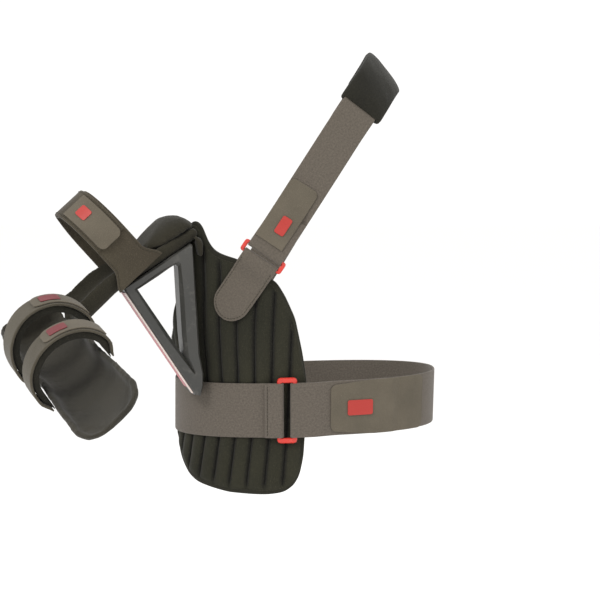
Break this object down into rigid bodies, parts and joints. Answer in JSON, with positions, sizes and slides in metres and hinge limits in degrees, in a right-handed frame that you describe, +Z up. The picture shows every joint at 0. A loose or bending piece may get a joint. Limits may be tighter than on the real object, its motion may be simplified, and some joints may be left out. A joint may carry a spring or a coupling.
{
  "type": "shoulder abduction brace",
  "caption": "Shoulder brace for the right arm: a channelled trunk pad with a waist belt and shoulder strap, a triangular frame that props the arm pad, and a padded forearm trough.",
  "frame": {"origin": "underside of the shoulder pad at its crest, where it sits on the left shoulder", "axes": "+Z up, -Y the way the wearer faces, +X the wearer's left"},
  "size_m": [0.5781, 0.5445, 0.5777],
  "materials": {
    "neoprene": "matt knitted face over foam",
    "webbing": "ribbed elastic webbing",
    "grip_tab": "smooth coated cloth",
    "padded_cloth": "matt brushed cloth over foam",
    "patch_red": "smooth woven patch",
    "ring_red": "satin moulded",
    "frame_plastic": "satin moulded",
    "stripe_white": "satin inlay",
    "stripe_red": "satin inlay"
  },
  "bodies": {
    "root": {"trunk_pad": "neoprene", "belt_short": "webbing", "belt_long": "webbing", "belt_ring": "ring_red", "belt_tab": "grip_tab", "belt_patch": "patch_red", "shoulder_anchor": "webbing", "shoulder_ring": "ring_red", "shoulder_strap": "webbing", "shoulder_tab": "grip_tab", "shoulder_patch": "patch_red", "shoulder_pad": "neoprene", "abduction_frame": "frame_plastic", "strut_stripe_white": "stripe_white", "strut_stripe_red": "stripe_red", "forearm_trough": "padded_cloth", "arm_pad": "neoprene", "armpit_pad": "neoprene", "upper_arm_flap": "neoprene", "upper_arm_strap": "neoprene", "upper_arm_tab": "grip_tab", "upper_arm_patch": "patch_red", "forearm_near_liner": "padded_cloth", "forearm_near_strap": "padded_cloth", "forearm_near_tab": "grip_tab", "forearm_near_patch": "patch_red", "forearm_far_liner": "padded_cloth", "forearm_far_strap": "padded_cloth", "forearm_far_tab": "grip_tab", "forearm_far_patch": "patch_red"}
  },
  "joints": []
}
